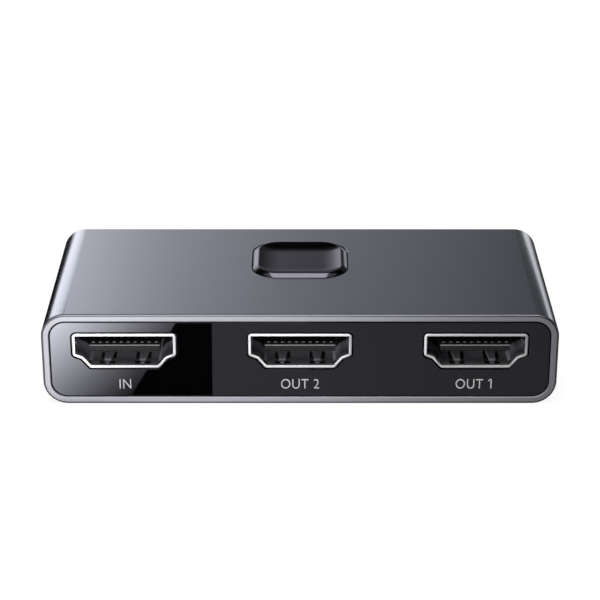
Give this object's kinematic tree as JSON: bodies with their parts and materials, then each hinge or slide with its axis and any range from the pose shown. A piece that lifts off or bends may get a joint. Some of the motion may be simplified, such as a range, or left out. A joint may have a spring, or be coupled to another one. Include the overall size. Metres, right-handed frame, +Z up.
{
  "type": "hdmi switch",
  "caption": "Slim HDMI switch in a metal sleeve, with sockets in a glossy black front and a dished push button on top.",
  "frame": {"origin": "middle of the footprint, on the surface it stands on", "axes": "+X along the row of sockets, to the right seen from the front; +Y from the front face to the back; +Z up"},
  "size_m": [0.074, 0.033, 0.0146],
  "materials": {
    "anodised_sleeve": "fine blasted and anodised space grey, with a bright cut edge at each end",
    "gloss_fascia": "polished black acrylic",
    "black_tape": "black die-cut tape",
    "black_moulding": "matt black moulded ABS",
    "board_laminate": "glass-epoxy laminate under green resist",
    "plated_steel": "nickel-plated steel",
    "button_metal": "dark metallic plated ABS",
    "plunger_plastic": "black moulded nylon",
    "tinned_leads": "tinned copper alloy",
    "chip_moulding": "black epoxy moulding",
    "capacitor_ceramic": "fired tan ceramic",
    "resistor_film": "black glazed film",
    "bright_shell": "bright nickel-plated sheet",
    "port_moulding": "black glass-filled moulding",
    "contact_plating": "gold flash over nickel"
  },
  "bodies": {
    "case": {"sleeve": "anodised_sleeve", "front_fascia": "gloss_fascia", "front_fascia_tape": "black_tape", "front_frame": "black_moulding", "rear_fascia": "gloss_fascia", "rear_fascia_tape": "black_tape", "rear_frame": "black_moulding", "chassis_tray": "black_moulding", "circuit_board": "board_laminate", "board_screws": "plated_steel", "button_guide": "black_moulding", "switch_base": "black_moulding", "switch_cover": "plated_steel", "switch_dome": "plated_steel", "switch_terminals": "tinned_leads", "signal_switch_chip": "chip_moulding", "toggle_chip": "chip_moulding", "toggle_chip_leads": "tinned_leads", "protection_arrays": "chip_moulding", "supply_diodes": "chip_moulding", "capacitors": "capacitor_ceramic", "resistors": "resistor_film", "input_port_shell": "bright_shell", "input_port_insulator": "port_moulding", "input_port_contacts": "contact_plating", "output_2_port_shell": "bright_shell", "output_2_port_insulator": "port_moulding", "output_2_port_contacts": "contact_plating", "output_1_port_shell": "bright_shell", "output_1_port_insulator": "port_moulding", "output_1_port_contacts": "contact_plating"},
    "button": {"button_cap": "button_metal"},
    "plunger": {"switch_plunger": "plunger_plastic"}
  },
  "joints": [
    {"name": "button_press", "type": "slide", "parent": "case", "child": "button", "axis": [0, 0, -1], "range_m": [0, 0.0004], "stiffness_N_per_m": 1000},
    {"name": "plunger_press", "type": "slide", "parent": "case", "child": "plunger", "axis": [0, 0, -1], "range_m": [0, 0.0004], "deforming": ["switch_dome"]}
  ],
  "couplings": [
    {"joint": "plunger_press", "follows": "button_press", "ratio": 1}
  ]
}
